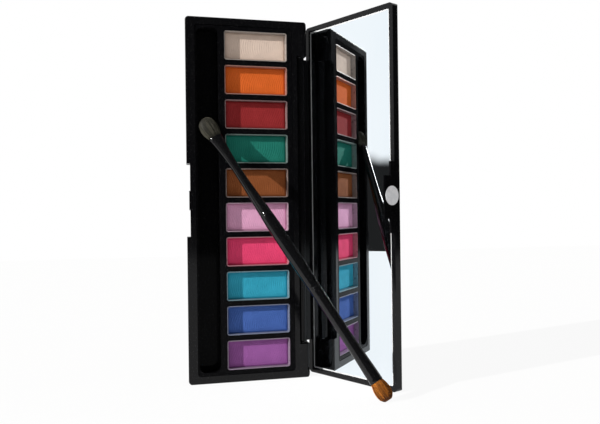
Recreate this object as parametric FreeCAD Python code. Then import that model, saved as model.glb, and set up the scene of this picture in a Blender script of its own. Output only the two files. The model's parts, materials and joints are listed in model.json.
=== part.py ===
import FreeCAD, Part
import math
import os

from FreeCAD import Placement, Rotation, Vector

# Pans and their windows, which set the length and width of the case
pan_count = 10
window_length = 13.9
window_width = 30.2
window_gap = 2.2
window_corner = 1.2
pan_clearance = 0.15
pan_depth = 4.5
pan_wall = 0.4
pan_lip_sink = 0.2
powder_sink = 2.4

# Pan tray with its brush channel
tray_plate = 1.2
tray_floor = 1.0
tray_wall = 1.0
tray_sink = 0.3
tray_fit = 0.1
tray_corner = 1.5
tray_end_margin = 2.0
tray_hinge_margin = 2.2
channel_width = 10.2
channel_margin = 0.8
channel_end_margin = 1.4
channel_corner = 3.0
divider_width = 2.6

# Base shell
base_depth = 11.0
back_wall = 1.6
end_rim = 3.6
latch_rim = 4.4
hinge_rim = 7.6
side_draft = 1.0
case_corner = 2.0
front_round = 0.5
back_round = 1.2
support_rib = 1.2

# Hinge between base and lid
open_angle = 116.0
hinge_depth = 6.2
hinge_inset = 2.5
ear_length = 16.0
ear_round = 2.0
knuckle_radius = 2.3
spine_thickness = 2.0
pin_radius = 0.8
pin_reach = 6.0
pin_sink = 0.5
running_fit = 0.05
stop_lip_reach = 0.4

# Lid with its mirror
lid_depth = 3.8
lid_gap = 0.3
lid_setback = 0.2
lid_rim = 2.2
lid_hinge_rim = 2.9
lid_round = 0.8
mirror_sink = 0.5
mirror_thickness = 1.5
mirror_fit = 0.15
tape_thickness = 0.3
tape_margin = 3.0

# Latch on the edge of the lid, its seat in the base and its oval badge
latch_width = 31.0
tongue_width = 18.6
tongue_reach = 6.5
skirt_reach = 2.5
tongue_root = 0.95
tongue_tip = 0.55
hook_height = 0.2
hook_length = 0.8
seat_depth = 1.65
seat_side_gap = 1.5
catch_length = 9.0
catch_height = 0.4
catch_thickness = 1.0
catch_from_front = 3.6
badge_width = 8.2
badge_length = 8.4
badge_thickness = 0.5
badge_proud = 0.2
badge_rise = 0.7

# Two-ended brush leaning on the channel edge, with places measured along its axis from the lower tip
brush_length = 150.5
lower_tuft_length = 9.0
lower_sleeve_length = 47.0
upper_tuft_length = 11.0
upper_sleeve_length = 44.5
waist_below_mouth = 18.0
belly_below_joint = 12.0
lower_mouth = lower_tuft_length
lower_joint = lower_mouth + lower_sleeve_length
upper_mouth = brush_length - upper_tuft_length
upper_waist = upper_mouth - waist_below_mouth
upper_joint = upper_mouth - upper_sleeve_length
handle_belly = upper_joint - belly_below_joint
lower_mouth_width = 5.9
lower_mouth_thickness = 4.4
lower_sleeve_diameter = 4.9
lower_joint_diameter = 5.4
handle_belly_diameter = 6.2
upper_joint_diameter = 5.7
upper_waist_diameter = 3.7
upper_mouth_width = 6.6
upper_mouth_thickness = 3.8
lower_tuft_width = 7.4
lower_tuft_thickness = 4.8
upper_tuft_width = 8.8
upper_tuft_thickness = 5.4
tuft_rise = 0.5
tuft_fit = 0.2
tenon_length = 8.0
tenon_taper = 0.7
root_length = 7.0
ferrule_wall = 0.3
brush_gap = 0.3
foot_right = 48.2
foot_forward = 52.5
lean_height = 109.5
lean_steps = 16
lean_share = 0.75

# Least room between pieces that move past each other
body_gap = 0.3

# Derived sizes and places: x across the case, y from front to back, z along the case
tray_length = 2 * tray_end_margin + pan_count * window_length + (pan_count - 1) * window_gap
case_length = tray_length + 2 * end_rim
tray_width = channel_margin + channel_width + divider_width + window_width + tray_hinge_margin
case_width = latch_rim + tray_width + hinge_rim
latch_x = -case_width / 2
hinge_x = case_width / 2
front_y = -base_depth / 2
back_y = base_depth / 2
floor_y = back_y - back_wall
middle_z = case_length / 2

tray_x0 = latch_x + latch_rim
tray_x1 = tray_x0 + tray_width
tray_y = front_y + tray_sink
channel_x0 = tray_x0 + channel_margin
channel_x1 = channel_x0 + channel_width
window_x0 = channel_x1 + divider_width
window_x1 = window_x0 + window_width
column_z0 = end_rim + tray_end_margin
column_z1 = case_length - column_z0
pan_pitch = window_length + window_gap
pan_y = tray_y + pan_lip_sink
well_floor_y = pan_y + pan_depth
tray_under_y = well_floor_y + tray_floor

axis_x = hinge_x - hinge_inset
axis_y = front_y + hinge_depth
notch_x = axis_x - knuckle_radius - body_gap
rim_y = front_y - lid_gap
lid_front_y = rim_y - lid_depth
lid_x0 = latch_x + lid_setback
lid_x1 = hinge_x - lid_setback
mirror_y = rim_y - mirror_sink


def rounded_wire(corners, radii, place):
    """Closed outline of a polygon with each corner rounded by its own radius."""
    count = len(corners)
    starts, middles, ends = [], [], []
    for i in range(count):
        here = Vector(*corners[i], 0)
        before = (Vector(*corners[i - 1], 0) - here).normalize()
        after = (Vector(*corners[(i + 1) % count], 0) - here).normalize()
        half = before.getAngle(after) / 2
        toward = (before + after).normalize()
        reach = radii[i] / math.tan(half)
        starts.append(here + before * reach)
        ends.append(here + after * reach)
        middles.append(here + toward * (radii[i] / math.sin(half) - radii[i]))
    edges = []
    for i in range(count):
        a, m, b = (place(p.x, p.y) for p in (starts[i], middles[i], ends[i]))
        follow = place(starts[(i + 1) % count].x, starts[(i + 1) % count].y)
        if radii[i] > 0:
            edges.append(Part.Arc(a, m, b).toShape())
        edges.append(Part.LineSegment(b, follow).toShape())
    return Part.Wire(edges)


def prism(corners, radii, plane, low, high):
    """Solid of a rounded polygon in the named plane, from low to high across that plane."""
    places = {
        "xy": lambda u, v: Vector(u, v, low),
        "xz": lambda u, v: Vector(u, low, v),
        "yz": lambda u, v: Vector(low, u, v),
    }
    across = {"xy": Vector(0, 0, 1), "xz": Vector(0, 1, 0), "yz": Vector(1, 0, 0)}
    face = Part.Face(rounded_wire(corners, radii, places[plane]))
    return face.extrude(across[plane] * (high - low))


def rectangle(u0, u1, v0, v1):
    return ((u0, v0), (u1, v0), (u1, v1), (u0, v1))


def slab(x0, x1, z0, z1, y0, y1, corner):
    """Plate or pocket with rounded corners, facing the front."""
    return prism(rectangle(x0, x1, z0, z1), (corner,) * 4, "xz", y0, y1)


def block(x0, x1, y0, y1, z0, z1):
    return Part.makeBox(x1 - x0, y1 - y0, z1 - z0, Vector(x0, y0, z0))


def rod(radius, x, y, z0, z1):
    return Part.makeCylinder(radius, z1 - z0, Vector(x, y, z0))


def fused(first, *others):
    return first.multiFuse(list(others)).removeSplitter()


def window_z(index):
    """Lower edge of a window; the first pan is the topmost."""
    return column_z1 - index * pan_pitch - window_length


def base_outline():
    profile = ((latch_x, front_y), (hinge_x, front_y), (hinge_x, back_y), (latch_x + side_draft, back_y))
    section = prism(profile, (front_round, ear_round, back_round, back_round), "xy", 0, case_length)
    plan = slab(latch_x, hinge_x, 0, case_length, front_y, back_y, case_corner)
    side = rectangle(front_y, back_y, 0, case_length)
    ends = prism(side, (front_round, back_round, back_round, front_round), "yz", latch_x, hinge_x)
    return section.common(plan).common(ends)


def hinge_notch():
    """Room for the lid's spine: open to the front and side, with the back wall left as its stop."""
    z0 = ear_length
    z1 = case_length - ear_length
    lip_end = axis_x + stop_lip_reach
    room = block(notch_x, 2 * hinge_x, 2 * front_y, floor_y, z0, z1)
    return room.fuse(block(lip_end, 2 * hinge_x, 2 * front_y, 2 * back_y, z0, z1))


def latch_seat():
    """Recess in the latch side that takes the tongue, with its floor leaning like the side."""
    half = latch_width / 2 + seat_side_gap
    slope = side_draft / base_depth
    lead = base_depth / 2
    corners = (
        (latch_x - seat_depth, front_y - lead),
        (latch_x + seat_depth - slope * lead, front_y - lead),
        (latch_x + seat_depth + slope * (base_depth + lead), back_y + lead),
        (latch_x - seat_depth, back_y + lead),
    )
    return prism(corners, (0,) * 4, "xy", middle_z - half, middle_z + half)


def latch_catch():
    """Small bar on the floor of the seat that the tongue's hook passes."""
    y0 = front_y + catch_from_front
    face_x = latch_x + seat_depth + side_draft / base_depth * catch_from_front - catch_height
    half = catch_length / 2
    return block(face_x, latch_x + latch_rim / 2, y0, y0 + catch_thickness, middle_z - half, middle_z + half)


def base_shell():
    x0 = tray_x0 - tray_fit
    x1 = tray_x1 + tray_fit
    z0 = end_rim - tray_fit
    z1 = case_length - z0
    shell = base_outline().cut(slab(x0, x1, z0, z1, front_y, floor_y, tray_corner))
    shell = shell.cut(hinge_notch()).cut(latch_seat()).fuse(latch_catch())
    ribs = []
    for index in range(0, pan_count - 1, 2):
        z = window_z(index) - window_gap / 2
        half = support_rib / 2
        ribs.append(block(window_x0, window_x1, tray_under_y, floor_y, z - half, z + half))
    shell = fused(shell, *ribs)
    for z in (0, case_length - ear_length):
        shell = shell.cut(rod(pin_radius, axis_x, axis_y, z, z + ear_length))
    return shell


def pan_tray():
    plate = slab(tray_x0, tray_x1, end_rim, end_rim + tray_length, tray_y, tray_y + tray_plate, tray_corner)
    wells = block(
        window_x0 - tray_wall, window_x1 + tray_wall, tray_y, tray_under_y,
        column_z0 - tray_wall, column_z1 + tray_wall,
    )
    z0 = end_rim + channel_end_margin
    z1 = end_rim + tray_length - channel_end_margin
    trough = slab(
        channel_x0 - channel_margin, channel_x1 + tray_wall, z0 - tray_wall, z1 + tray_wall,
        tray_y, floor_y, channel_corner,
    )
    tray = fused(plate, wells, trough)
    tray = tray.cut(slab(channel_x0, channel_x1, z0, z1, tray_y, floor_y - tray_floor, channel_corner))
    for index in range(pan_count):
        z = window_z(index)
        tray = tray.cut(slab(window_x0, window_x1, z, z + window_length, tray_y, well_floor_y, window_corner))
    return tray


def pan(index):
    """Tin pan standing on the floor of its well."""
    x0 = window_x0 + pan_clearance
    x1 = window_x1 - pan_clearance
    z0 = window_z(index) + pan_clearance
    z1 = z0 + window_length - 2 * pan_clearance
    corner = window_corner - pan_clearance
    outside = slab(x0, x1, z0, z1, pan_y, well_floor_y, corner)
    t = pan_wall
    return outside.cut(slab(x0 + t, x1 - t, z0 + t, z1 - t, pan_y, well_floor_y - t, corner - t))


def powder(index):
    """Pressed powder filling its pan to below the lip."""
    inset = pan_clearance + pan_wall
    z0 = window_z(index) + inset
    z1 = z0 + window_length - 2 * inset
    x0 = window_x0 + inset
    x1 = window_x1 - inset
    return slab(x0, x1, z0, z1, pan_y + powder_sink, well_floor_y - pan_wall, window_corner - inset)


def hinge_pin(z_end, way):
    """Steel pin pressed into an ear and reaching into the lid's spine."""
    near = z_end + way * pin_sink
    far = z_end + way * (ear_length + body_gap + pin_reach)
    return rod(pin_radius, axis_x, axis_y, min(near, far), max(near, far))


def lid_outline():
    profile = rectangle(lid_x0, lid_x1, lid_front_y, rim_y)
    section = prism(profile, (lid_round, lid_round, 0, 0), "xy", lid_setback, case_length - lid_setback)
    plan = slab(lid_x0, lid_x1, lid_setback, case_length - lid_setback, lid_front_y, rim_y, case_corner)
    side = rectangle(lid_front_y, rim_y, lid_setback, case_length - lid_setback)
    ends = prism(side, (lid_round, 0, 0, lid_round), "yz", lid_x0, lid_x1)
    return section.common(plan).common(ends)


def lid_spine():
    """Strip along the hinge edge of the lid with the knuckle that turns on the pins."""
    z0 = ear_length + body_gap
    z1 = case_length - z0
    strip = block(lid_x1 - spine_thickness, lid_x1, rim_y - lid_depth / 2, axis_y, z0, z1)
    return fused(strip, rod(knuckle_radius, axis_x, axis_y, z0, z1))


def latch_tongue():
    """Tongue and side skirts that hang from the latch edge of the lid over the base."""
    top_y = rim_y - lid_depth / 2
    tip_y = rim_y + tongue_reach
    tongue = prism(
        ((lid_x0, top_y), (lid_x0 + tongue_root, top_y), (lid_x0 + tongue_tip, tip_y), (lid_x0, tip_y)),
        (0,) * 4, "xy", middle_z - tongue_width / 2, middle_z + tongue_width / 2,
    )
    half = latch_width / 2
    skirt = block(lid_x0, lid_x0 + tongue_root, top_y, rim_y + skirt_reach, middle_z - half, middle_z + half)
    reach = catch_length / 2
    hook_x = lid_x0 + tongue_tip + hook_height
    hook = block(lid_x0, hook_x, tip_y - hook_length, tip_y, middle_z - reach, middle_z + reach)
    return fused(tongue, skirt, hook)


def badge_disc(x0, x1):
    """Oval disc standing across the latch edge."""
    center_y = (lid_front_y + lid_round + rim_y + tongue_reach) / 2
    stretch = FreeCAD.Matrix()
    stretch.scale(badge_length / 2, badge_width / 2, 1)
    face = Part.Face(Part.Wire(Part.makeCircle(1))).transformGeometry(stretch)
    upright = Rotation(Vector(0, 0, 1), Vector(0, 1, 0), Vector(-1, 0, 0))
    face.Placement = Placement(Vector(x0, center_y, middle_z + badge_rise), upright)
    return face.extrude(Vector(x1 - x0, 0, 0))


def mirror_plate(y0, y1, inset):
    x0 = lid_x0 + lid_rim + inset
    x1 = hinge_x - lid_hinge_rim - inset
    z0 = lid_setback + lid_rim + inset
    return slab(x0, x1, z0, case_length - z0, y0, y1, window_corner)


def lid_shell():
    pocket_y = mirror_y - mirror_thickness - tape_thickness
    shell = lid_outline().cut(mirror_plate(pocket_y, rim_y, 0))
    shell = fused(shell, lid_spine(), latch_tongue())
    bore_length = pin_reach + pin_sink
    z0 = ear_length + body_gap
    for z in (z0, case_length - z0 - bore_length):
        shell = shell.cut(rod(pin_radius + running_fit, axis_x, axis_y, z, z + bore_length))
    seat_x = lid_x0 + badge_thickness - badge_proud
    return shell.cut(badge_disc(lid_x0 - badge_thickness, seat_x))


def latch_badge():
    return badge_disc(lid_x0 - badge_proud, lid_x0 - badge_proud + badge_thickness)


def mirror():
    return mirror_plate(mirror_y - mirror_thickness, mirror_y, mirror_fit)


def mirror_tape():
    tape_y = mirror_y - mirror_thickness
    return mirror_plate(tape_y - tape_thickness, tape_y, tape_margin)


def opened(shape):
    """Turns a piece of the closed lid about the hinge to its open stop."""
    shape.rotate(Vector(axis_x, axis_y, 0), Vector(0, 0, 1), open_angle)
    return shape


def oval_wire(along, width, thickness):
    """Oval section of the brush, or a round one where width and thickness agree."""
    center = Vector(0, 0, along)
    if width > thickness:
        section = Part.Ellipse(center, width / 2, thickness / 2)
    else:
        section = Part.Circle(center, Vector(0, 0, 1), width / 2)
    return Part.Wire(section.toShape())


def turned(stations, shrink=0.0):
    """Smooth solid through sections along the brush's axis, each shrunk by a wall all round."""
    wires = []
    for along, width, thickness in stations:
        wires.append(oval_wire(along, width - 2 * shrink, thickness - 2 * shrink))
    return Part.makeLoft(wires, True, False)


def ferrule(stations):
    """Thin metal sleeve, open at both ends."""
    return turned(stations).cut(turned(stations, ferrule_wall))


def lower_ferrule():
    return ferrule((
        (lower_mouth, lower_mouth_width, lower_mouth_thickness),
        ((lower_mouth + lower_joint) / 2, lower_sleeve_diameter, lower_sleeve_diameter),
        (lower_joint, lower_joint_diameter, lower_joint_diameter),
    ))


def upper_ferrule():
    return ferrule((
        (upper_joint, upper_joint_diameter, upper_joint_diameter),
        (upper_waist, upper_waist_diameter, upper_waist_diameter),
        (upper_mouth, upper_mouth_width, upper_mouth_thickness),
    ))


def tenon(along, diameter, way):
    """Tapered end of the handle inside a ferrule."""
    radius = diameter / 2 - ferrule_wall - tuft_fit
    return Part.makeCone(radius, radius * tenon_taper, tenon_length, Vector(0, 0, along), Vector(0, 0, way))


def brush_handle():
    grip = turned((
        (lower_joint, lower_joint_diameter, lower_joint_diameter),
        (handle_belly, handle_belly_diameter, handle_belly_diameter),
        (upper_joint, upper_joint_diameter, upper_joint_diameter),
    ))
    lower = tenon(lower_joint, lower_joint_diameter, -1)
    upper = tenon(upper_joint, upper_joint_diameter, 1)
    return fused(grip, lower, upper)


def tuft(mouth, mouth_width, mouth_thickness, width, thickness, tip):
    """Bristles held in a ferrule's mouth, swelling to a belly and closing to a rounded tip."""
    inside = 2 * (ferrule_wall + tuft_fit)
    root_width = mouth_width - inside
    root_thickness = mouth_thickness - inside
    way = 1 if tip > mouth else -1
    belly = mouth + tuft_rise * (tip - mouth)
    root = turned((
        (mouth - way * root_length, root_width * tenon_taper, root_thickness * tenon_taper),
        (mouth, root_width, root_thickness),
    ))
    stations = []
    for angle in (0, 35, 65):
        swell = math.sin(math.radians(angle))
        along = mouth + (belly - mouth) * angle / 90
        swollen_width = root_width + swell * (width - root_width)
        swollen_thickness = root_thickness + swell * (thickness - root_thickness)
        stations.append((along, swollen_width, swollen_thickness))
    for angle in (0, 30, 55, 75):
        along = belly + (tip - belly) * math.sin(math.radians(angle))
        close = math.cos(math.radians(angle))
        stations.append((along, width * close, thickness * close))
    return fused(turned(stations), root)


def lower_bristles():
    width, thickness = lower_tuft_width, lower_tuft_thickness
    return tuft(lower_mouth, lower_mouth_width, lower_mouth_thickness, width, thickness, 0.0)


def upper_bristles():
    width, thickness = upper_tuft_width, upper_tuft_thickness
    return tuft(upper_mouth, upper_mouth_width, upper_mouth_thickness, width, thickness, brush_length)


def brush_placement(stand_off):
    """Stands the brush on its lower tip, with its axis passing the divider's channel edge at a stand-off."""
    foot = Vector(foot_right, front_y - foot_forward, 0)
    lean = Vector(channel_x1, tray_y - stand_off, lean_height)
    along = (lean - foot).normalize()
    wide = along.cross(Vector(0, 1, 0)).normalize()
    thin = along.cross(wide)
    belly = lower_mouth * (1 - tuft_rise)
    reach = Vector(belly * along.z, wide.z * lower_tuft_width / 2, thin.z * lower_tuft_thickness / 2).Length
    foot.z = reach - belly * along.z
    return Placement(foot, Rotation(wide, thin, along, "ZXY"))


def leaning_placement(case):
    """Leans the brush over from clear of the case until only the brush gap is left between them."""
    upper_end = Part.makeCompound([upper_ferrule(), upper_bristles()])
    stand_off = foot_forward
    for step in range(lean_steps):
        upper_end.Placement = brush_placement(stand_off)
        stand_off -= lean_share * (upper_end.distToShape(case)[0] - brush_gap)
    return brush_placement(stand_off)


def placed(shape, placement):
    shape.Placement = placement
    return shape


shell = base_shell()
tray = pan_tray()
leaning = leaning_placement(Part.makeCompound([shell, tray]))
pieces = {
    "base_shell": shell,
    "pan_tray": tray,
    "lower_hinge_pin": hinge_pin(0, 1),
    "upper_hinge_pin": hinge_pin(case_length, -1),
    "lid_shell": opened(lid_shell()),
    "mirror": opened(mirror()),
    "mirror_tape": opened(mirror_tape()),
    "latch_badge": opened(latch_badge()),
    "brush_handle": placed(brush_handle(), leaning),
    "lower_ferrule": placed(lower_ferrule(), leaning),
    "upper_ferrule": placed(upper_ferrule(), leaning),
    "lower_bristles": placed(lower_bristles(), leaning),
    "upper_bristles": placed(upper_bristles(), leaning),
}
for number in range(pan_count):
    pieces[f"pan_{number + 1:02d}"] = pan(number)
    pieces[f"powder_{number + 1:02d}"] = powder(number)

os.makedirs("parts", exist_ok=True)
for name, shape in pieces.items():
    shape.exportStep(f"parts/{name}.step")
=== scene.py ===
import json
import math
import random

import bmesh
import bpy
from mathutils import Matrix, Vector


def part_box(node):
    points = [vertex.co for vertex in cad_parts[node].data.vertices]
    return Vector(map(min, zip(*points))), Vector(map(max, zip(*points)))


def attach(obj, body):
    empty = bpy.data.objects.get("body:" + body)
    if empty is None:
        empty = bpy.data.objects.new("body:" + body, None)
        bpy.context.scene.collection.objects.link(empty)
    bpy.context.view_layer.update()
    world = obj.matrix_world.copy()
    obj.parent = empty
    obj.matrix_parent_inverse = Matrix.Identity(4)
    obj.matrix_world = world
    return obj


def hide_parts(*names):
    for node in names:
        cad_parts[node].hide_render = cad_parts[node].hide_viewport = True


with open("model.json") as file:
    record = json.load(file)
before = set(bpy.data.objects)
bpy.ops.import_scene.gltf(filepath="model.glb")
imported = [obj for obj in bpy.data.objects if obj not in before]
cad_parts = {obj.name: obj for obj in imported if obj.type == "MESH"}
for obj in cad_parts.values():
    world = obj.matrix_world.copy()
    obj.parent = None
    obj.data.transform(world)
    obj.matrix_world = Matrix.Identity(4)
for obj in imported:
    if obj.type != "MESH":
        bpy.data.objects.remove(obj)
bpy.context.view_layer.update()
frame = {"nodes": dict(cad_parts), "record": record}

nodes = frame["nodes"]
MM = 0.001

# Camera of the photograph, in millimetres and degrees
CAMERA_PLACE = (-57.7, -328.7, 78.5)
CAMERA_YAW = 14.28
CAMERA_PITCH = 0.1
CAMERA_ROLL = -0.68
CAMERA_LENS = 41.87
SENSOR_WIDTH = 36.0
CLIP_START = 0.01

# Light: a low sun from the upper left, and a soft even fill
SUN_TRAVEL = (3.1, 1.0, -1.2)
SUN_STRENGTH = 5.4
SUN_ANGLE = 0.6
SUN_COLOR = (1.0, 0.985, 0.96)
FILL_STRENGTH = 0.34

# Floor in metres, and how much of what the eye sees of it is plain white
FLOOR_SIZE = 2.0
FLOOR_GLOW = 1.0
FLOOR_SHARE = 0.92

# What glossy surfaces see: sky, a ragged dark hedge near the horizon, and a dark front
SKY = 1.0
FRONT_DARK = 0.05
FRONT_EDGE = 0.12
HEDGE_HEIGHT = 0.085
HEDGE_RAGGED = 0.05
HEDGE_BLUR = 0.03
HEDGE_DARK = 0.015
LEAF_SCALE = 14.0

# Black mouldings: linear colours, and for each its lowest and highest roughness and its specular level
BLACK = (0.0025, 0.0025, 0.003)
DUSTY_BLACK = (0.0225, 0.0225, 0.023)
CASE_GLOSS = (0.06, 0.14, 0.2)
TRAY_GLOSS = (0.05, 0.11, 0.03)
HANDLE_GLOSS = (0.08, 0.14, 0.35)
FERRULE_GLOSS = (0.10, 0.18, 0.4)
EDGE_ROUND = 0.2 * MM
EDGE_SEGMENTS = 3
EDGE_ANGLE = 40.0

# Powders from the top pan down, as linear colours
POWDER_COLORS = (
    (0.62, 0.49, 0.41),
    (0.61, 0.115, 0.018),
    (0.25, 0.020, 0.022),
    (0.011, 0.150, 0.112),
    (0.22, 0.066, 0.020),
    (0.66, 0.33, 0.50),
    (0.72, 0.055, 0.155),
    (0.030, 0.31, 0.44),
    (0.050, 0.110, 0.35),
    (0.26, 0.085, 0.28),
)
POWDER_STEP = 0.22 * MM
POWDER_EDGE = 0.35 * MM
POWDER_EDGE_WIDTH = 0.9 * MM
RIB_PITCH = 1.05 * MM
RIB_HEIGHT = 0.095 * MM
RIB_WAVE = 1.8 * MM
RIB_CROSS_SHARE = 0.2
RIB_PHASE = 0.9
RIB_START = 1.0 * MM
RIB_FULL = 1.9 * MM

# Tin pans: bare tin, and how much of it and of the powder's colour shows
TIN_GREY = 0.3
TIN_SHARE = 0.6
DUST_SHARE = 0.4

# Mirror on the open lid, in degrees and metres
LID_OPENING = 116.0
SEAM_WIDTH = 0.6 * MM
SEAM_LIFT = 0.03 * MM
SEAM_CHAMFER = 0.15 * SEAM_WIDTH

# Brush, in millimetres along its axis from the lower tip: place, width, thickness
BRUSH_TIP = 0.0
LOWER_MOUTH = 9.0
LOWER_JOINT = 56.0
UPPER_JOINT = 95.0
UPPER_MOUTH = 139.5
BRUSH_END = 150.5
LOWER_SLEEVE = (
    (LOWER_MOUTH, 5.9, 4.4), (14.0, 5.7, 4.6), (21.0, 5.3, 4.8),
    (32.5, 4.9, 4.9), (45.0, 5.1, 5.1), (LOWER_JOINT, 5.4, 5.4),
)
GRIP = (
    (LOWER_JOINT, 5.4, 5.4), (64.0, 5.7, 5.7), (74.0, 6.05, 6.05),
    (83.0, 6.2, 6.2), (90.0, 6.0, 6.0), (UPPER_JOINT, 5.7, 5.7),
)
UPPER_SLEEVE = (
    (UPPER_JOINT, 5.7, 5.7), (104.0, 4.8, 4.8), (112.0, 4.1, 4.1), (121.5, 3.7, 3.7),
    (129.0, 4.4, 3.6), (135.0, 5.4, 3.7), (UPPER_MOUTH, 6.6, 3.8),
)
AROUND = 48
END_BEVEL = 0.15
RING_GROOVE = 0.08
RING_INSET = 1.0
BODY_INSET = 0.8
BODY_STEPS = 40
SPLIT_ANGLE = 50.0

# Tufts: width and thickness at the mouth and at the belly in millimetres, and how square their ends are
LOWER_TUFT_MOUTH = (5.4, 3.9)
LOWER_TUFT_BELLY = (7.4, 4.8)
LOWER_TUFT_SEED = 3
UPPER_TUFT_MOUTH = (6.0, 3.2)
UPPER_TUFT_BELLY = (8.8, 5.4)
UPPER_TUFT_SEED = 5
TUFT_FULLNESS = 2.6
CORE_STEPS = 12
CORE_SIDES = 32
CORE_SHARE = 0.9
CORE_START = -0.15
CORE_REACH = 1.12
CORE_END = 0.965
STRAND_COUNT = 1100
STRAND_STEPS = 6
STRAND_SIDES = 3
STRAND_RADIUS = 0.1
STRAND_TAPER = 0.75
STRAND_GATHER = 0.05
STRAND_DRIFT = 0.12
STRAND_DEPTH = 0.2
STRAND_END = 0.985
STRAND_END_SPREAD = 0.06
CLUMP_COUNT = 7
CLUMP_SHARE = 0.4
STRAND_SHADE = "strand_shade"


class Graph:
    """Short-hand for adding and linking the nodes of a tree."""

    def __init__(self, tree):
        self.tree = tree

    def add(self, kind, **values):
        node = self.tree.nodes.new(kind)
        for key, value in values.items():
            setattr(node, key, value)
        return node

    def link(self, source, target):
        self.tree.links.new(source, target)

    def feed(self, socket, value):
        """Links another node's output to a socket, or sets the socket to a number."""
        if isinstance(value, bpy.types.NodeSocket):
            self.link(value, socket)
        else:
            socket.default_value = value

    def math(self, operation, *values):
        node = self.add("ShaderNodeMath", operation=operation)
        for socket, value in zip(node.inputs, values):
            self.feed(socket, value)
        return node.outputs[0]

    def mixed(self, factor, first, second):
        node = self.add("ShaderNodeMix", data_type="FLOAT")
        for name, value in (("Factor", factor), ("A", first), ("B", second)):
            self.feed(node.inputs[name], value)
        return node.outputs["Result"]

    def mapped(self, value, start, end, low, high, interpolation="LINEAR"):
        """Maps the range from start to end onto the range from low to high."""
        node = self.add("ShaderNodeMapRange", interpolation_type=interpolation)
        self.feed(node.inputs["Value"], value)
        node.inputs["From Min"].default_value = start
        node.inputs["From Max"].default_value = end
        node.inputs["To Min"].default_value = low
        node.inputs["To Max"].default_value = high
        return node.outputs["Result"]


class Finish(Graph):
    """A surface's material, built round its Principled shader."""

    def __init__(self, name):
        self.material = bpy.data.materials.new(name)
        self.material.use_nodes = True
        super().__init__(self.material.node_tree)
        self.shader = self.tree.nodes["Principled BSDF"]
        self.place = self.add("ShaderNodeTexCoord").outputs["Object"]

    def stretched(self, scale):
        mapping = self.add("ShaderNodeMapping")
        mapping.inputs["Scale"].default_value = scale
        self.link(self.place, mapping.inputs["Vector"])
        return mapping.outputs["Vector"]

    def noise(self, scale, detail, stretch=None):
        noise = self.add("ShaderNodeTexNoise")
        noise.inputs["Scale"].default_value = scale
        noise.inputs["Detail"].default_value = detail
        self.link(self.stretched(stretch) if stretch else self.place, noise.inputs["Vector"])
        return noise.outputs["Fac"]

    def color(self, factor, low, high, low_color, high_color):
        """Colours the surface, from one colour where the factor is low to another where it is high."""
        ramp = self.add("ShaderNodeValToRGB")
        ramp.color_ramp.elements[0].position = low
        ramp.color_ramp.elements[1].position = high
        ramp.color_ramp.elements[0].color = (*low_color, 1)
        ramp.color_ramp.elements[1].color = (*high_color, 1)
        self.link(factor, ramp.inputs["Fac"])
        self.link(ramp.outputs["Color"], self.shader.inputs["Base Color"])

    def roughness(self, factor, low, high):
        """Spreads the middle of a noise over a range of roughness."""
        self.link(self.mapped(factor, 0.3, 0.7, low, high), self.shader.inputs["Roughness"])

    def bump(self, height, strength, distance):
        bump = self.add("ShaderNodeBump")
        bump.inputs["Strength"].default_value = strength
        bump.inputs["Distance"].default_value = distance
        self.link(height, bump.inputs["Height"])
        self.link(bump.outputs["Normal"], self.shader.inputs["Normal"])

    def set(self, **values):
        for key, value in values.items():
            self.shader.inputs[key.replace("_", " ")].default_value = value


def shaded(color, share):
    return tuple(share * channel for channel in color)


def black_plastic(name, rough_low, rough_high, specular):
    """Gloss black moulding with faint smears, hair scratches and a little dust."""
    finish = Finish(name)
    finish.color(finish.noise(scale=2600.0, detail=2.0), 0.62, 0.74, BLACK, DUSTY_BLACK)
    finish.roughness(finish.noise(scale=45.0, detail=6.0), rough_low, rough_high)
    scratches = finish.noise(scale=900.0, detail=3.0, stretch=(1.0, 1.0, 0.04))
    finish.bump(scratches, strength=0.08, distance=0.05 * MM)
    finish.set(IOR=1.48, Specular_IOR_Level=specular)
    return finish.material


def powder_material(name, color):
    """Pressed powder: matt, with fine grain and slightly uneven colour."""
    finish = Finish(name)
    light = tuple(min(1.0, 1.06 * channel + 0.004) for channel in color)
    grain = finish.noise(scale=5200.0, detail=3.0)
    patches = finish.noise(scale=160.0, detail=4.0)
    uneven = finish.math("MULTIPLY", finish.math("ADD", grain, patches), 0.5)
    finish.color(uneven, 0.36, 0.62, shaded(color, 0.86), light)
    finish.bump(grain, strength=0.35, distance=0.06 * MM)
    finish.set(Roughness=0.9, Specular_IOR_Level=0.06)
    return finish.material


def tin_material(name, color):
    """Pressed tin, dusted with the pan's own powder."""
    finish = Finish(name)
    brushed = finish.noise(scale=700.0, detail=3.0, stretch=(0.05, 1.0, 1.0))
    dusted = tuple(TIN_SHARE * TIN_GREY + DUST_SHARE * channel for channel in color)
    finish.color(brushed, 0.3, 0.7, shaded(dusted, 0.8), dusted)
    finish.roughness(brushed, 0.25, 0.4)
    finish.set(Metallic=0.3)
    return finish.material


def mirror_material():
    """Silvered glass with a trace of smear, tinted pale blue as a painted reflection of sky."""
    finish = Finish("mirror_finish")
    smear = finish.noise(scale=60.0, detail=5.0, stretch=(1.0, 1.0, 0.3))
    # pale blue tint is a painted sky reflection; the smear noise only shifts it slightly
    finish.color(smear, 0.3, 0.8, (0.88, 0.94, 0.98), (0.84, 0.91, 0.96))
    finish.roughness(smear, 0.0, 0.02)
    finish.set(Metallic=1.0)
    return finish.material


def frosted_seam_and_highlight_material():
    """Ground glass edge, pale grey partly for the frosted glass and partly as a painted highlight along
    the mirror's edge.
    """
    finish = Finish("mirror_seam_finish")
    # pale grey is partly painted highlight, bright enough to read as an edge glint even where the band
    # lies in shade
    finish.color(finish.noise(scale=2500.0, detail=4.0), 0.3, 0.7, (0.46, 0.47, 0.48), (0.60, 0.61, 0.62))
    finish.set(Roughness=0.4)
    return finish.material


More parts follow.
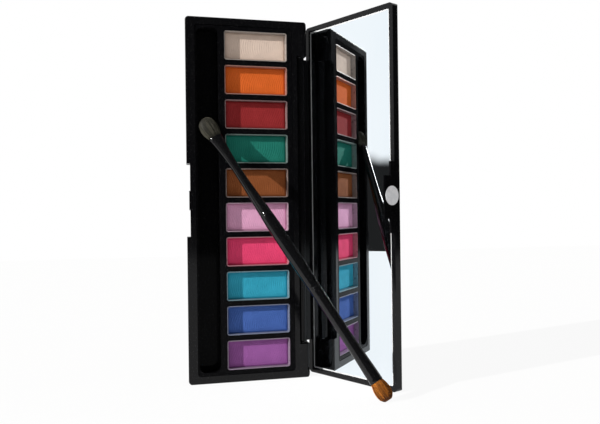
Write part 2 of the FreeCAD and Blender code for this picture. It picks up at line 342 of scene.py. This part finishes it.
def badge_material():
    """Pale inlay with a faint cloud in it."""
    finish = Finish("badge_finish")
    cloud = finish.noise(scale=300.0, detail=4.0)
    finish.color(cloud, 0.3, 0.7, (0.76, 0.77, 0.80), (0.86, 0.86, 0.88))
    finish.roughness(cloud, 0.2, 0.35)
    return finish.material


def steel_material():
    """Ground steel of the hinge pins."""
    finish = Finish("pin_steel_finish")
    ground = finish.noise(scale=1200.0, detail=3.0, stretch=(1.0, 1.0, 0.05))
    finish.color(ground, 0.3, 0.7, (0.45, 0.45, 0.46), (0.66, 0.66, 0.67))
    finish.roughness(ground, 0.25, 0.4)
    finish.set(Metallic=1.0)
    return finish.material


def tape_material():
    """Foam tape behind the mirror."""
    finish = Finish("tape_finish")
    foam = finish.noise(scale=1800.0, detail=4.0)
    finish.color(foam, 0.3, 0.7, (0.62, 0.61, 0.58), (0.78, 0.77, 0.74))
    finish.bump(foam, strength=0.4, distance=0.1 * MM)
    finish.set(Roughness=0.8)
    return finish.material


def bristle_material(name, dark, light):
    """Hair whose colour changes from strand to strand and along each strand."""
    finish = Finish(name)
    shade = finish.add("ShaderNodeAttribute", attribute_name=STRAND_SHADE)
    along = finish.noise(scale=900.0, detail=3.0)
    finish.color(finish.mixed(0.3, shade.outputs["Fac"], along), 0.15, 0.85, dark, light)
    finish.set(Roughness=0.6, Specular_IOR_Level=0.2)
    return finish.material


def dress(node, material):
    """Gives a carried-over piece its finish."""
    mesh = nodes[node].data
    mesh.materials.clear()
    mesh.materials.append(material)


def soften(node):
    """Rounds the hard edges of a moulding by a small radius."""
    bevel = nodes[node].modifiers.new("edge_round", "BEVEL")
    bevel.width = EDGE_ROUND
    bevel.segments = EDGE_SEGMENTS
    bevel.limit_method = "ANGLE"
    bevel.angle_limit = math.radians(EDGE_ANGLE)
    bevel.harden_normals = True


def skin(form, rings):
    """Joins each ring of points to the next with quads."""
    for low, high in zip(rings, rings[1:]):
        for i in range(len(low)):
            j = (i + 1) % len(low)
            form.faces.new((low[i], low[j], high[j], high[i]))


def new_piece(form, name, material, body, slot, *replaced):
    """Turns a form into a piece of the object that rides on a body."""
    bmesh.ops.recalc_face_normals(form, faces=form.faces)
    mesh = bpy.data.meshes.new(name)
    form.to_mesh(mesh)
    form.free()
    mesh.materials.append(material)
    piece = bpy.data.objects.new(name, mesh)
    bpy.context.scene.collection.objects.link(piece)
    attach(piece, body)
    if replaced:
        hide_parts(*replaced)
    return piece


def smooth_between(low, high, value):
    share = min(1.0, max(0.0, (value - low) / (high - low)))
    return share * share * (3 - 2 * share)


def powder_height(x, z, size_x, size_z, phase):
    """Relief of the pressed face: wavy ribs inside a smooth border whose edge falls away."""
    wave = RIB_WAVE * math.sin(math.pi * z / size_z + phase)
    wave += RIB_CROSS_SHARE * RIB_WAVE * math.sin(2 * math.pi * x / size_x + 2 * phase)
    rib = 0.5 + 0.5 * math.sin(2 * math.pi * (x + wave) / RIB_PITCH)
    edge = min(x, size_x - x, z, size_z - z)
    border = smooth_between(RIB_START, RIB_FULL, edge)
    slope = POWDER_EDGE * (1 - smooth_between(0.0, POWDER_EDGE_WIDTH, edge))
    return rib * rib * RIB_HEIGHT * border - slope


def powder(index):
    """Pressed powder cake with its ribbed face, closed at the sides and back."""
    number = f"{index + 1:02d}"
    node = f"powder_{number}"
    low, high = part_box(node)
    size_x = high[0] - low[0]
    size_z = high[2] - low[2]
    count_x = int(size_x / POWDER_STEP)
    count_z = int(size_z / POWDER_STEP)
    form = bmesh.new()
    rows = []
    for k in range(count_z + 1):
        z = size_z * k / count_z
        row = []
        for i in range(count_x + 1):
            x = size_x * i / count_x
            rise = powder_height(x, z, size_x, size_z, RIB_PHASE * index)
            row.append(form.verts.new((low[0] + x, low[1] - rise, low[2] + z)))
        rows.append(row)
    for lower, upper in zip(rows, rows[1:]):
        for i in range(count_x):
            form.faces.new((lower[i], lower[i + 1], upper[i + 1], upper[i]))
    right = [row[-1] for row in rows[1:]]
    left = [row[0] for row in rows[-2:0:-1]]
    rim = rows[0] + right + rows[-1][-2::-1] + left
    back = [form.verts.new((v.co.x, high[1], v.co.z)) for v in rim]
    skin(form, [back, rim])
    form.faces.new(back)
    slot = next(s["material_slot"] for s in frame["record"]["subparts"] if s["node"] == node)
    material = powder_material(f"{slot}_finish", POWDER_COLORS[index])
    piece = new_piece(form, f"powder_cake_{number}", material, "base", slot, node)
    piece.data.shade_smooth()


def case():
    """Finishes of the case's own pieces, and the powders in their pans."""
    shell = black_plastic("case_finish", *CASE_GLOSS)
    insert = black_plastic("tray_finish", *TRAY_GLOSS)
    steel = steel_material()
    for node, material in (("base_shell", shell), ("lid_shell", shell), ("pan_tray", insert)):
        dress(node, material)
        soften(node)
    dress("mirror", mirror_material())
    dress("mirror_tape", tape_material())
    dress("latch_badge", badge_material())
    for node in ("lower_hinge_pin", "upper_hinge_pin"):
        dress(node, steel)
    for index, color in enumerate(POWDER_COLORS):
        number = f"{index + 1:02d}"
        dress(f"pan_{number}", tin_material(f"pan_tin_finish_{number}", color))
        powder(index)


def mirror_seam():
    """Ground edge of the mirror: a narrow frosted band round its face, whose pale grey is partly a painted
    highlight.
    """
    turn = math.radians(LID_OPENING)
    out = Vector((-math.cos(turn), -math.sin(turn), 0))
    inward = Vector((-math.sin(turn), math.cos(turn), 0))
    points = [v.co for v in nodes["mirror"].data.vertices]
    low_u = min(p.dot(out) for p in points)
    high_u = max(p.dot(out) for p in points)
    low_z = min(p.z for p in points)
    high_z = max(p.z for p in points)
    face = max(p.dot(inward) for p in points)
    form = bmesh.new()
    loops = []
    section = ((0.0, 0.0), (SEAM_CHAMFER, SEAM_LIFT), (SEAM_WIDTH, SEAM_LIFT), (SEAM_WIDTH, 0.0))
    for inset, lift in section:
        corners = (
            (low_u + inset, low_z + inset),
            (high_u - inset, low_z + inset),
            (high_u - inset, high_z - inset),
            (low_u + inset, high_z - inset),
        )
        level = inward * (face + lift)
        loops.append([form.verts.new(out * u + level + Vector((0, 0, z))) for u, z in corners])
    skin(form, loops + loops[:1])
    new_piece(form, "mirror_seam", frosted_seam_and_highlight_material(), "lid", "mirror_glass")


def node_middle(node):
    points = [v.co for v in nodes[node].data.vertices]
    return sum(points, Vector()) / len(points)


def brush_frame():
    """Place of the brush: its own z runs along the axis from the lower tip, its x across the wide side."""
    low = node_middle("lower_ferrule")
    high = node_middle("upper_ferrule")
    along = (high - low).normalized()
    tip = min(v.co.dot(along) for v in nodes["lower_bristles"].data.vertices)
    start = low + along * (tip - low.dot(along))
    wide = along.cross(Vector((0, 1, 0))).normalized()
    thin = along.cross(wide)
    turn = Matrix((wide, thin, along)).transposed().to_4x4()
    return Matrix.Translation(start) @ turn


def oval_at(stations, along):
    """Width and thickness at a place along the brush, in a straight line between two stations."""
    for low, high in zip(stations, stations[1:]):
        if along <= high[0]:
            share = max(0.0, (along - low[0]) / (high[0] - low[0]))
            return tuple(a + share * (b - a) for a, b in zip(low[1:], high[1:]))
    return stations[-1][1:]


def sleeve(name, stations, material, slot, node, place):
    """Turned piece of the brush with a fine ring groove near each end."""
    start = stations[0][0]
    end = stations[-1][0]
    grooved = {start, start + RING_INSET, end - RING_INSET, end}
    places = set(grooved)
    for inset in (END_BEVEL, 2 * RING_INSET):
        places |= {start + inset, end - inset}
    body = end - start - 2 * BODY_INSET
    places |= {start + BODY_INSET + body * i / BODY_STEPS for i in range(BODY_STEPS + 1)}
    form = bmesh.new()
    rings = []
    for along in sorted(places):
        width, thickness = oval_at(stations, along)
        groove = RING_GROOVE if along in grooved else 0.0
        ring = []
        for i in range(AROUND):
            angle = 2 * math.pi * i / AROUND
            x = (width / 2 - groove) * math.cos(angle)
            y = (thickness / 2 - groove) * math.sin(angle)
            ring.append(form.verts.new((x * MM, y * MM, along * MM)))
        rings.append(ring)
    skin(form, rings)
    form.faces.new(rings[0][::-1])
    form.faces.new(rings[-1])
    form.transform(place)
    piece = new_piece(form, name, material, "brush", slot, node)
    piece.data.shade_smooth()
    split = piece.modifiers.new("edges", "EDGE_SPLIT")
    split.split_angle = math.radians(SPLIT_ANGLE)


def tuft_radius(share, mouth, belly):
    """Half size of a tuft from its mouth, share 0, to its tip, share 1."""
    if share < 0.5:
        return mouth + (belly - mouth) * math.sin(share * math.pi)
    return belly * max(0.0, 1 - (2 * share - 1) ** TUFT_FULLNESS) ** (1 / TUFT_FULLNESS)


def tuft(name, mouth, tip, mouth_size, belly_size, material, slot, node, seed, place):
    """Tuft of single hairs over a core, each hair running from the ferrule's mouth to the rounded end."""
    draw = random.Random(seed)
    form = bmesh.new()
    shades = form.verts.layers.float.new(STRAND_SHADE)
    length = tip - mouth
    clump_turn = draw.uniform(0, 2 * math.pi)

    def spot(share, radial, angle):
        wide = tuft_radius(share, mouth_size[0] / 2, belly_size[0] / 2) * radial
        thin = tuft_radius(share, mouth_size[1] / 2, belly_size[1] / 2) * radial
        return Vector((wide * math.cos(angle), thin * math.sin(angle), mouth + share * length))

    def core():
        rings = []
        for k in range(CORE_STEPS + 1):
            share = CORE_START + CORE_REACH * k / CORE_STEPS
            ring = []
            for i in range(CORE_SIDES):
                point = spot(max(share, 0.0), CORE_SHARE, 2 * math.pi * i / CORE_SIDES)
                point.z = mouth + min(share, CORE_END) * length
                ring.append(form.verts.new(point * MM))
            rings.append(ring)
        return rings

    def strand():
        angle = draw.uniform(0, 2 * math.pi)
        radial = math.sqrt(draw.uniform(STRAND_DEPTH, 1.0))
        ending = STRAND_END - STRAND_END_SPREAD * draw.random()
        drift = draw.gauss(0, STRAND_DRIFT)
        clump = 0.5 + 0.5 * math.sin(CLUMP_COUNT * angle + clump_turn)
        shade = CLUMP_SHARE * clump + (1 - CLUMP_SHARE) * draw.random()
        rings = []
        for k in range(STRAND_STEPS + 1):
            share = k / STRAND_STEPS
            radius = STRAND_RADIUS * (1.0 - STRAND_TAPER * share)
            middle = spot(share * ending, radial * (1 - STRAND_GATHER * share), angle + drift * share)
            ring = []
            for i in range(STRAND_SIDES):
                side = 2 * math.pi * i / STRAND_SIDES
                point = middle + radius * Vector((math.cos(side), math.sin(side), 0))
                ring.append(form.verts.new(point * MM))
                ring[-1][shades] = shade
            rings.append(ring)
        return rings

    for rings in [core()] + [strand() for hair in range(STRAND_COUNT)]:
        skin(form, rings)
        form.faces.new(rings[0])
        form.faces.new(rings[-1])
    form.transform(place)
    piece = new_piece(form, name, material, "brush", slot, node)
    piece.data.shade_smooth()


def brush():
    """Two-ended brush: its grip, two sleeves and two tufts."""
    place = brush_frame()
    lacquer = black_plastic("handle_finish", *HANDLE_GLOSS)
    metal = black_plastic("ferrule_finish", *FERRULE_GLOSS)
    sleeve("brush_grip", GRIP, lacquer, "handle_black", "brush_handle", place)
    sleeve("lower_sleeve", LOWER_SLEEVE, metal, "ferrule_black", "lower_ferrule", place)
    sleeve("upper_sleeve", UPPER_SLEEVE, metal, "ferrule_black", "upper_ferrule", place)
    amber = bristle_material("amber_bristle_finish", (0.035, 0.009, 0.002), (0.58, 0.19, 0.022))
    dusky = bristle_material("dark_bristle_finish", (0.014, 0.013, 0.010), (0.085, 0.080, 0.058))
    tuft(
        "lower_tuft", LOWER_MOUTH, BRUSH_TIP, LOWER_TUFT_MOUTH, LOWER_TUFT_BELLY,
        amber, "amber_bristles", "lower_bristles", LOWER_TUFT_SEED, place,
    )
    tuft(
        "upper_tuft", UPPER_MOUTH, BRUSH_END, UPPER_TUFT_MOUTH, UPPER_TUFT_BELLY,
        dusky, "dark_bristles", "upper_bristles", UPPER_TUFT_SEED, place,
    )


def floor_material():
    """Pale floor, mostly plain white to the eye and in reflections, with the rest lit and in shadow."""
    finish = Finish("floor_finish")
    finish.color(finish.noise(scale=30.0, detail=3.0), 0.2, 0.8, (0.88, 0.88, 0.88), (0.92, 0.92, 0.92))
    finish.set(Roughness=0.9, Specular_IOR_Level=0.0)
    white = finish.add("ShaderNodeEmission")
    white.inputs["Strength"].default_value = FLOOR_GLOW
    path = finish.add("ShaderNodeLightPath")
    seen = finish.math("MAXIMUM", path.outputs["Is Camera Ray"], path.outputs["Is Glossy Ray"])
    mix = finish.add("ShaderNodeMixShader")
    finish.link(finish.math("MULTIPLY", seen, FLOOR_SHARE), mix.inputs["Fac"])
    finish.link(finish.shader.outputs["BSDF"], mix.inputs[1])
    finish.link(white.outputs["Emission"], mix.inputs[2])
    finish.link(mix.outputs["Shader"], finish.tree.nodes["Material Output"].inputs["Surface"])
    return finish.material


def floor():
    """Square floor under the object."""
    half = FLOOR_SIZE / 2
    corners = [(-half, -half, 0), (half, -half, 0), (half, half, 0), (-half, half, 0)]
    mesh = bpy.data.meshes.new("floor")
    mesh.from_pydata(corners, [], [(0, 1, 2, 3)])
    mesh.materials.append(floor_material())
    plane = bpy.data.objects.new("floor", mesh)
    bpy.context.scene.collection.objects.link(plane)


def surroundings():
    """White to the eye, an even fill for matt surfaces, and sky, hedge and dark front for glossy ones."""
    world = bpy.data.worlds.new("surroundings")
    bpy.context.scene.world = world
    world.use_nodes = True
    graph = Graph(world.node_tree)
    graph.tree.nodes.clear()
    direction = graph.add("ShaderNodeTexCoord").outputs["Generated"]
    parts = graph.add("ShaderNodeSeparateXYZ")
    graph.link(direction, parts.inputs[0])
    front = graph.mapped(parts.outputs["Y"], -FRONT_EDGE, FRONT_EDGE, FRONT_DARK, SKY, "SMOOTHSTEP")
    leaves = graph.add("ShaderNodeTexNoise")
    leaves.inputs["Scale"].default_value = LEAF_SCALE
    graph.link(direction, leaves.inputs["Vector"])
    height = graph.math("ABSOLUTE", parts.outputs["Z"])
    ragged = graph.math("MULTIPLY_ADD", leaves.outputs["Fac"], HEDGE_RAGGED, height)
    hedge = graph.mapped(ragged, HEDGE_HEIGHT, HEDGE_HEIGHT + HEDGE_BLUR, HEDGE_DARK, SKY, "SMOOTHSTEP")
    path = graph.add("ShaderNodeLightPath")
    reflected = graph.math("MULTIPLY", front, hedge)
    unseen = graph.mixed(path.outputs["Is Glossy Ray"], FILL_STRENGTH, reflected)
    strength = graph.mixed(path.outputs["Is Camera Ray"], unseen, SKY)
    background = graph.add("ShaderNodeBackground")
    background.inputs["Color"].default_value = (1.0, 1.0, 1.0, 1.0)
    graph.link(strength, background.inputs["Strength"])
    output = graph.add("ShaderNodeOutputWorld")
    graph.link(background.outputs["Background"], output.inputs["Surface"])


def sun():
    """Low sun from the upper left."""
    lamp = bpy.data.lights.new("sun", "SUN")
    lamp.energy = SUN_STRENGTH
    lamp.angle = math.radians(SUN_ANGLE)
    lamp.color = SUN_COLOR
    holder = bpy.data.objects.new("sun", lamp)
    holder.rotation_euler = Vector(SUN_TRAVEL).to_track_quat("-Z", "Y").to_euler()
    bpy.context.scene.collection.objects.link(holder)


def camera():
    """Camera of the photograph."""
    lens = bpy.data.cameras.new("camera")
    lens.lens = CAMERA_LENS
    lens.sensor_width = SENSOR_WIDTH
    lens.clip_start = CLIP_START
    holder = bpy.data.objects.new("camera", lens)
    turn = Matrix.Rotation(math.radians(-CAMERA_YAW), 4, "Z")
    tilt = Matrix.Rotation(math.radians(90 + CAMERA_PITCH), 4, "X")
    roll = Matrix.Rotation(math.radians(CAMERA_ROLL), 4, "Z")
    holder.matrix_world = Matrix.Translation(Vector(CAMERA_PLACE) * MM) @ turn @ tilt @ roll
    bpy.context.scene.collection.objects.link(holder)
    bpy.context.scene.camera = holder


bpy.context.scene.view_settings.view_transform = "Standard"
case()
mirror_seam()
brush()
floor()
surroundings()
sun()
camera()

bpy.context.view_layer.update()
